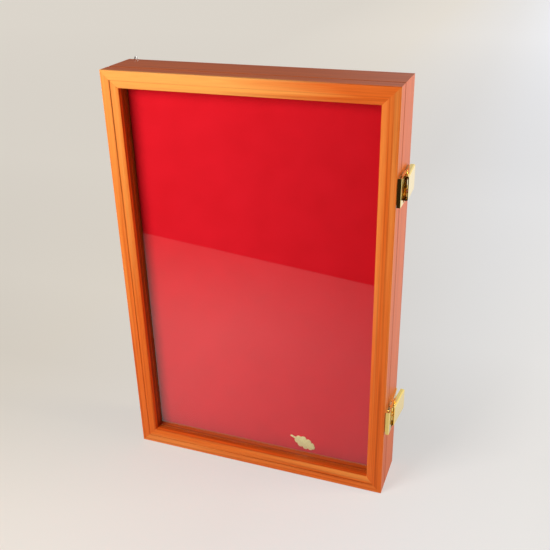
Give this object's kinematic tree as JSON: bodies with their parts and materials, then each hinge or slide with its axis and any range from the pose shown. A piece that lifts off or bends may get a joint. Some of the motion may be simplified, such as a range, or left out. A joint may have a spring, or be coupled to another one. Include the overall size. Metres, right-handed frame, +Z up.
{
  "type": "knife display case",
  "caption": "Shallow wooden wall case with a glazed, moulded door on side hinges, held by brass draw latches over a felt-covered pad for showing folding knives.",
  "frame": {"origin": "middle of the case's bottom, on the box's bottom rail, halfway between door front and box back", "axes": "+Z up the case, +X to the right of a viewer in front, +Y from the door's front to the back"},
  "size_m": [0.3147, 0.0634, 0.4546],
  "materials": {
    "stained_pine": "satin lacquer over an orange stain, straight fine grain",
    "glass": "clear float glass",
    "brass": "polished pressed sheet",
    "cast_brass": "polished casting",
    "plated_steel": "bright zinc plate",
    "hardboard": "smooth pressed board",
    "foam": "open-cell foam",
    "red_felt": "pressed wool felt"
  },
  "bodies": {
    "case": {"box_bottom_rail": "stained_pine", "box_top_rail": "stained_pine", "box_left_stile": "stained_pine", "box_right_stile": "stained_pine", "back_panel": "hardboard", "back_panel_brads": "plated_steel", "foam_pad": "foam", "felt_cover": "red_felt", "leaf_ornament": "cast_brass", "upper_hinge_leaf_box": "brass", "lower_hinge_leaf_box": "brass", "upper_hinge_pin": "brass", "lower_hinge_pin": "brass", "hinge_screws_box": "brass", "upper_latch_base": "brass", "lower_latch_base": "brass", "latch_base_screws": "brass", "left_hanger_strap": "plated_steel", "right_hanger_strap": "plated_steel", "hanger_screws": "plated_steel"},
    "door": {"door_bottom_rail": "stained_pine", "door_top_rail": "stained_pine", "door_left_stile": "stained_pine", "door_right_stile": "stained_pine", "glass_pane": "glass", "glass_bead_bottom": "stained_pine", "glass_bead_top": "stained_pine", "glass_bead_left": "stained_pine", "glass_bead_right": "stained_pine", "upper_hinge_leaf_door": "brass", "lower_hinge_leaf_door": "brass", "hinge_screws_door": "brass", "upper_keeper": "brass", "lower_keeper": "brass", "keeper_screws": "brass"},
    "upper_lever": {"upper_latch_lever": "brass", "upper_latch_rivets": "brass", "upper_claw_pin": "brass"},
    "upper_claw": {"upper_latch_claw": "brass"},
    "lower_lever": {"lower_latch_lever": "brass", "lower_latch_rivets": "brass", "lower_claw_pin": "brass"},
    "lower_claw": {"lower_latch_claw": "brass"},
    "left_ring": {"left_hanger_ring": "plated_steel"},
    "right_ring": {"right_hanger_ring": "plated_steel"}
  },
  "joints": [
    {"name": "door_hinge", "type": "hinge", "parent": "case", "child": "door", "pos_m": [-0.1521, -0.012, 0.226], "axis": [0, 0, -1], "range_deg": [0, 180]},
    {"name": "upper_lever_pivot", "type": "hinge", "parent": "case", "child": "upper_lever", "pos_m": [0.1554, -0.01, 0.3552], "axis": [0, 0, -1], "range_deg": [0, 90]},
    {"name": "upper_claw_pivot", "type": "hinge", "parent": "upper_lever", "child": "upper_claw", "pos_m": [0.15375, -0.004, 0.3552], "axis": [0, 0, 1], "range_deg": [0, 90]},
    {"name": "lower_lever_pivot", "type": "hinge", "parent": "case", "child": "lower_lever", "pos_m": [0.1554, -0.01, 0.0962], "axis": [0, 0, -1], "range_deg": [-7, 83]},
    {"name": "lower_claw_pivot", "type": "hinge", "parent": "lower_lever", "child": "lower_claw", "pos_m": [0.15449, -0.00384, 0.0962], "axis": [0, 0, 1], "range_deg": [-7, 83]},
    {"name": "left_ring_swing", "type": "hinge", "parent": "case", "child": "left_ring", "pos_m": [-0.1432, 0.03175, 0.4418], "axis": [-1, 0, 0], "range_deg": [0, 180]},
    {"name": "right_ring_swing", "type": "hinge", "parent": "case", "child": "right_ring", "pos_m": [0.1432, 0.03175, 0.4418], "axis": [1, 0, 0], "range_deg": [0, 180]}
  ],
  "couplings": [
    {"joint": "upper_claw_pivot", "follows": "upper_lever_pivot", "ratio": 1},
    {"joint": "lower_claw_pivot", "follows": "lower_lever_pivot", "ratio": 1}
  ]
}
